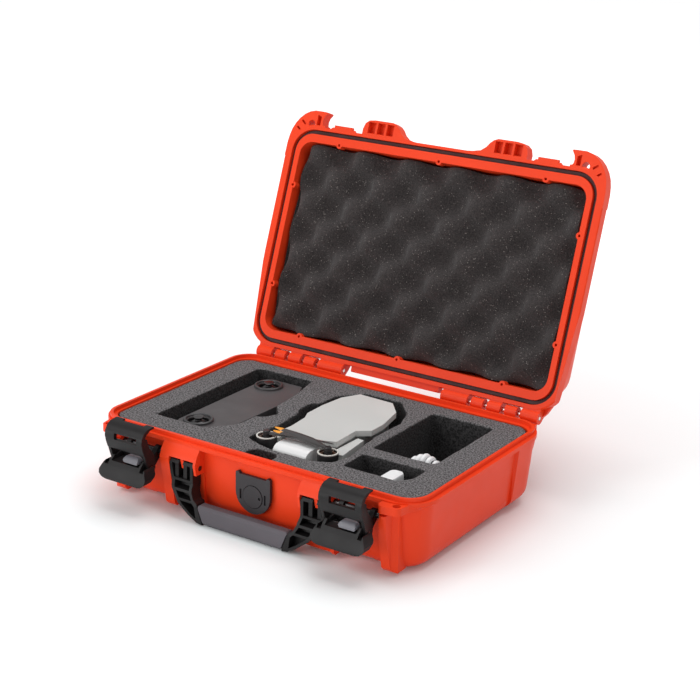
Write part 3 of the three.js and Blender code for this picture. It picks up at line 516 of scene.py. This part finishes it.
# ---------------------------------------------------------------- drone details
HUB_PROFILE = [(0.0026, 0), (0.0029, 0.0003), (0.0029, 0.0032), (0.0024, 0.0038)]
HUB_CLEARANCE = 0.0001                   # hub above the motor
BLADES = [(0.0095, 0.0008, 0.975), (0.0045, 0.0, 0.94)]    # drift along Y, lift, share of the way
BLADE_FLOOR = {"left": 0.0005, "right": 0.0015}            # lowest blade above the motor
BLADE_STEPS = 22
TIP_STEPS = 3                            # steps at the end of a blade that are its tip
BLADE_SIDES = 12
BLADE_FOOT, BLADE_RISE = 0.0006, 0.0008  # middle of the blade above its floor, and its rise along the way
BLADE_BOW = 0.0018
CHORDS = ([0, 0.12, 0.35, 0.7, 0.93, 1], [0.0015, 0.0019, 0.0034, 0.0028, 0.0019, 0.0007])
TWISTS = ([0, 0.3, 1], [4, 13, 5])       # degrees
THICKNESSES = ([0, 0.2, 1], [0.0009, 0.00055, 0.0003])
WINDINGS = 9
WINDING_SIDES = 12
WINDING_CIRCLE = 0.0052
WINDING_DROP = 0.0032                    # foot of the windings below the motor's top
WINDING_PROFILE = [(0.0011, 0), (0.0013, 0.0004), (0.0013, 0.0016), (0.001, 0.002)]


def middle_of(node):
    """The middle of a CAD node's box."""
    low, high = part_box(node)
    return (low + high) / 2


def blade_sections(hub, along, across, length, height, sign):
    """Loops round a blade from the hub outwards: it widens, twists, thins, bows and rises a little."""
    sections = []
    for step in range(BLADE_STEPS + 1):
        t = step / BLADE_STEPS
        chord = np.interp(t, *CHORDS)
        twist = math.radians(np.interp(t, *TWISTS)) * sign
        thick = np.interp(t, *THICKNESSES)
        bow = math.sin(math.pi * t) * BLADE_BOW
        centre = Vector((hub.x, hub.y, height + BLADE_FOOT + BLADE_RISE * t))
        centre = centre + along * (length * t) + across * bow
        loop = []
        for k in range(BLADE_SIDES):
            a = 2 * math.pi * k / BLADE_SIDES
            u, v = chord * math.cos(a), thick * math.sin(a)
            offset = across * (u * math.cos(twist)) + Vector((0, 0, u * math.sin(twist) + v))
            loop.append(centre + offset)
        sections.append(loop)
    return sections


def propeller(side):
    """A folded propeller: a hub on the motor and two blades that lie towards the other motor."""
    sign = 1 if side == "right" else -1
    hub = middle_of("drone_motor_" + side)
    other = middle_of("drone_motor_" + ("left" if side == "right" else "right"))
    motor_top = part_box("drone_motor_" + side)[1].z
    tip_material = TIP_ORANGE if side == "right" else PROPELLER
    turned(f"propeller_hub_{side}", HUB_PROFILE, (hub.x, hub.y, motor_top + HUB_CLEARANCE), MOTOR_BLACK,
           "drone")
    for blade, (drift, lift, reach) in enumerate(BLADES):
        way = Vector((other.x, other.y + drift, 0)) - Vector((hub.x, hub.y, 0))
        along = way.normalized()
        across = Vector((along.y, -along.x, 0)) * sign
        height = motor_top + BLADE_FLOOR[side] + lift
        sections = blade_sections(hub, along, across, way.length * reach, height, sign)
        cut = BLADE_STEPS - TIP_STEPS
        loft(f"propeller_blade_{side}_{blade}", sections[:cut + 1], PROPELLER, "drone")
        loft(f"propeller_tip_{side}_{blade}", sections[cut:], tip_material, "drone")
    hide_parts(f"drone_propeller_{side}")


def motor_insides(side):
    """Stator windings seen inside the bell."""
    centre = middle_of("drone_motor_" + side)
    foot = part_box("drone_motor_" + side)[1].z - WINDING_DROP
    for k in range(WINDINGS):
        a = 2 * math.pi * k / WINDINGS
        at = (centre.x + WINDING_CIRCLE * math.cos(a), centre.y + WINDING_CIRCLE * math.sin(a), foot)
        turned(f"motor_winding_{side}_{k}", WINDING_PROFILE, at, COPPER, "drone",
               segments=WINDING_SIDES)


for side in ("left", "right"):
    propeller(side)
    motor_insides(side)


# ---------------------------------------------------------------- controller details
COLLAR_RADIUS, COLLAR_SECTION, COLLAR_RISE = 0.0112, (0.0013, 0.0012), 0.0003
TRIM_RADIUS, TRIM_SECTION, TRIM_DROP = 0.0089, (0.0006, 0.0012), 0.0014


def stick_surround(place):
    """Raised dark collar round a stick's bowl, and a milled ring in it."""
    centre = middle_of("controller_stick_" + place)
    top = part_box("controller_body")[1].z
    ring(f"stick_collar_{place}", (centre.x, centre.y, top + COLLAR_RISE), COLLAR_RADIUS, COLLAR_SECTION,
         CONTROLLER_DARK, "controller")
    ring(f"stick_trim_{place}", (centre.x, centre.y, top - TRIM_DROP), TRIM_RADIUS, TRIM_SECTION,
         DARK_METAL, "controller")


for place in ("front", "rear"):
    stick_surround(place)


# ---------------------------------------------------------------- cable
CABLE_R = 0.0022
CABLE_BEND = 0.0055                      # radius of a fold
CABLE_PITCH = 0.0047                     # from one fold to the next along X
CABLE_SIDES = 12
FOLD_DROPS = (0.0044, 0.0017, 0.0001, 0.0013, 0.0037)      # each fold's top below the room for the hank
FLOOR_GAP = 0.0003
PLUG_HEIGHT = 0.017
PLUG_SIDES = 16
PLUG_SECTIONS = [(0.0004, 0.0016, 0.0009), (0.005, 0.0016, 0.0009), (0.0052, 0.0024, 0.0018),
                 (0.0135, 0.0025, 0.0019), (0.0148, 0.0021, 0.0018), (PLUG_HEIGHT, 0.0018, 0.0018)]


def cable_path(low, high, xs, back, front):
    """The lead's centreline: up from the near plug, over and under the folds, and down to the far plug."""
    centre = (low + high) / 2
    floor_z = low.z + CABLE_R + CABLE_BEND + FLOOR_GAP
    tops = [high.z - CABLE_R - CABLE_BEND - drop for drop in FOLD_DROPS]
    plug_top = low.z + PLUG_HEIGHT
    path = [(xs[0], back, plug_top)]

    def run(x, y, z0, z1):
        for t in np.linspace(0, 1, 7)[1:]:
            path.append((x, y, z0 + (z1 - z0) * t))

    for k, x in enumerate(xs):
        run(x, back, path[-1][2], tops[k])
        for a in np.linspace(0, math.pi, 15)[1:]:
            path.append((x, centre.y + CABLE_BEND * math.cos(a), tops[k] + CABLE_BEND * math.sin(a)))
        if k == len(xs) - 1:
            run(x, front, tops[k], plug_top)
            break
        run(x, front, tops[k], floor_z)
        for a in np.linspace(0, math.pi, 15)[1:]:
            share = (1 - math.cos(a)) / 2
            path.append((x + CABLE_PITCH * share, front + 2 * CABLE_BEND * share,
                         floor_z - CABLE_BEND * math.sin(a)))
    return [Vector(p) for p in path]


def lead_along(points):
    """The round lead along a centreline, closed at both ends."""
    vertices, faces = [], []
    for i, point in enumerate(points):
        ahead = points[min(i + 1, len(points) - 1)] - points[max(i - 1, 0)]
        ahead.normalize()
        u = ahead.cross(Vector((1, 0, 0))).normalized()
        v = ahead.cross(u).normalized()
        for k in range(CABLE_SIDES):
            a = 2 * math.pi * k / CABLE_SIDES
            vertices.append(point + (u * math.cos(a) + v * math.sin(a)) * CABLE_R)
    for i in range(len(points) - 1):
        here, there = i * CABLE_SIDES, (i + 1) * CABLE_SIDES
        for k in range(CABLE_SIDES):
            m = (k + 1) % CABLE_SIDES
            faces.append((here + k, here + m, there + m, there + k))
    faces += end_caps(len(points), CABLE_SIDES)
    return mesh_piece("charging_cable", vertices, faces, CABLE_WHITE, "cable")


def plug(name, x, y, foot):
    """A small plug standing on its end, its shell narrower than its grip."""
    sections = []
    for height, hx, hy in PLUG_SECTIONS:
        loop = []
        for k in range(PLUG_SIDES):
            a = 2 * math.pi * k / PLUG_SIDES
            cx, cy = math.cos(a), math.sin(a)
            loop.append(Vector((x + hx * math.copysign(abs(cx) ** 0.6, cx),
                                y + hy * math.copysign(abs(cy) ** 0.6, cy), foot + height)))
        sections.append(loop)
    return loft(name, sections, WHITE, "cable")


def cable():
    """A white charging cable folded into a standing hank, with its two plugs beside the folds."""
    low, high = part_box("cable_hank")
    centre = (low + high) / 2
    xs = [centre.x + CABLE_PITCH * (k - 2) for k in range(len(FOLD_DROPS))]
    back, front = centre.y + CABLE_BEND, centre.y - CABLE_BEND
    points = cable_path(low, high, xs, back, front)
    lead = lead_along(points)
    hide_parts("cable_hank")
    plug("cable_plug_near", xs[0], back, low.z)
    far_plug = plug("cable_plug_far", xs[-1], front, low.z)


cable()


# ---------------------------------------------------------------- floor, light and camera
FLOOR_HALF = 6
FLOOR_DROP = 0.0002                      # floor below the case's base
GLOW_RADIUS = 1.6                        # where the floor's painted glow is complete


def floor():
    """A plain pale floor with a painted glow that brightens it away from the case, as a lit sweep does."""
    mesh = bpy.data.meshes.new("floor")
    half = FLOOR_HALF
    corners = [(-half, -half, 0), (half, -half, 0), (half, half, 0), (-half, half, 0)]
    mesh.from_pydata(corners, [], [(0, 1, 2, 3)])
    obj = bpy.data.objects.new("floor", mesh)
    bpy.context.scene.collection.objects.link(obj)
    obj.location.z = -FLOOR_DROP
    # The colour leans to cyan to cancel the pink that light bounced off the orange case gives the floor's
    # shade.
    material, tree, shader = new_material("floor", (0.85, 0.885, 0.89), 0.6)
    shader.inputs["Specular IOR Level"].default_value = 0.1
    # Painted glow: the floor emits light, more the further it is from the case, so it reads white far off
    # and keeps its shade near the case.
    shader.inputs["Emission Strength"].default_value = 1.0
    gradient = tree.nodes.new("ShaderNodeTexGradient")
    gradient.gradient_type = "SPHERICAL"
    mapping = tree.nodes.new("ShaderNodeMapping")
    mapping.inputs["Scale"].default_value = (1 / GLOW_RADIUS, 1 / GLOW_RADIUS, 1)
    tree.links.new(coordinates(tree), mapping.inputs["Vector"])
    tree.links.new(mapping.outputs["Vector"], gradient.inputs["Vector"])
    glow = ramp(tree, gradient.outputs["Fac"], [(0.3, (0.52, 0.5, 0.5)), (0.92, (0.02, 0.02, 0.02))])
    tree.links.new(glow, shader.inputs["Emission Color"])
    mesh.materials.append(material)


WORLD_STRENGTH = 0.54
CASE_MIDDLE = (0, 0.02, 0.06)
CASE_FRONT = (0, -0.1, 0.03)
LIGHTS = [                               # name, place, target, size, power
    ("key", (-0.9, -1.3, 1.5), CASE_MIDDLE, (0.8, 0.8), 9),
    ("top", (0.1, 0.35, 1.7), CASE_MIDDLE, (1.4, 1.0), 16),
    ("front", (-0.35, -0.95, 0.22), CASE_FRONT, (0.9, 0.35), 3),
]


def area_light(name, place, target, size, power):
    """A white rectangular light of a size in metres and a power in watts, aimed at a target."""
    data = bpy.data.lights.new(name, "AREA")
    data.shape = "RECTANGLE"
    data.size, data.size_y = size
    data.energy = power
    obj = bpy.data.objects.new(name, data)
    bpy.context.scene.collection.objects.link(obj)
    obj.location = place
    obj.rotation_mode = "QUATERNION"
    obj.rotation_quaternion = (Vector(target) - Vector(place)).to_track_quat("-Z", "Y")


def studio():
    """Even white surroundings, a key light from the left, a broad one above and a low one in front."""
    world = bpy.data.worlds.new("studio")
    world.use_nodes = True
    background = world.node_tree.nodes["Background"]
    background.inputs["Color"].default_value = (1, 1, 1, 1)
    background.inputs["Strength"].default_value = WORLD_STRENGTH
    bpy.context.scene.world = world
    for light in LIGHTS:
        area_light(*light)
    bpy.context.scene.view_settings.view_transform = "Standard"
    bpy.context.scene.view_settings.look = "None"


CAMERA_PLACE = (0.70243, -1.02702, 0.5473)
CAMERA_AZIMUTH, CAMERA_ELEVATION, CAMERA_ROLL = 32.421, 17.813, 1.574    # degrees
CAMERA_LENS, CAMERA_SENSOR = 85.556, 36  # mm
CAMERA_SHIFT = (-0.0391, -0.0449)


def camera():
    """The camera in front of the case and to its right, looking down at it."""
    azimuth = math.radians(CAMERA_AZIMUTH)
    elevation = math.radians(CAMERA_ELEVATION)
    roll = math.radians(CAMERA_ROLL)
    ahead = Vector((-math.sin(azimuth) * math.cos(elevation), math.cos(azimuth) * math.cos(elevation),
                    -math.sin(elevation)))
    level = Vector((math.cos(azimuth), math.sin(azimuth), 0))
    upright = level.cross(ahead)
    right = level * math.cos(roll) + upright * math.sin(roll)
    up = right.cross(ahead)
    data = bpy.data.cameras.new("camera")
    data.lens = CAMERA_LENS
    data.sensor_width = CAMERA_SENSOR
    data.shift_x, data.shift_y = CAMERA_SHIFT
    obj = bpy.data.objects.new("camera", data)
    bpy.context.scene.collection.objects.link(obj)
    place = Matrix((right, up, -ahead)).transposed().to_4x4()
    place.translation = CAMERA_PLACE
    obj.matrix_world = place
    bpy.context.scene.camera = obj


floor()
studio()
camera()
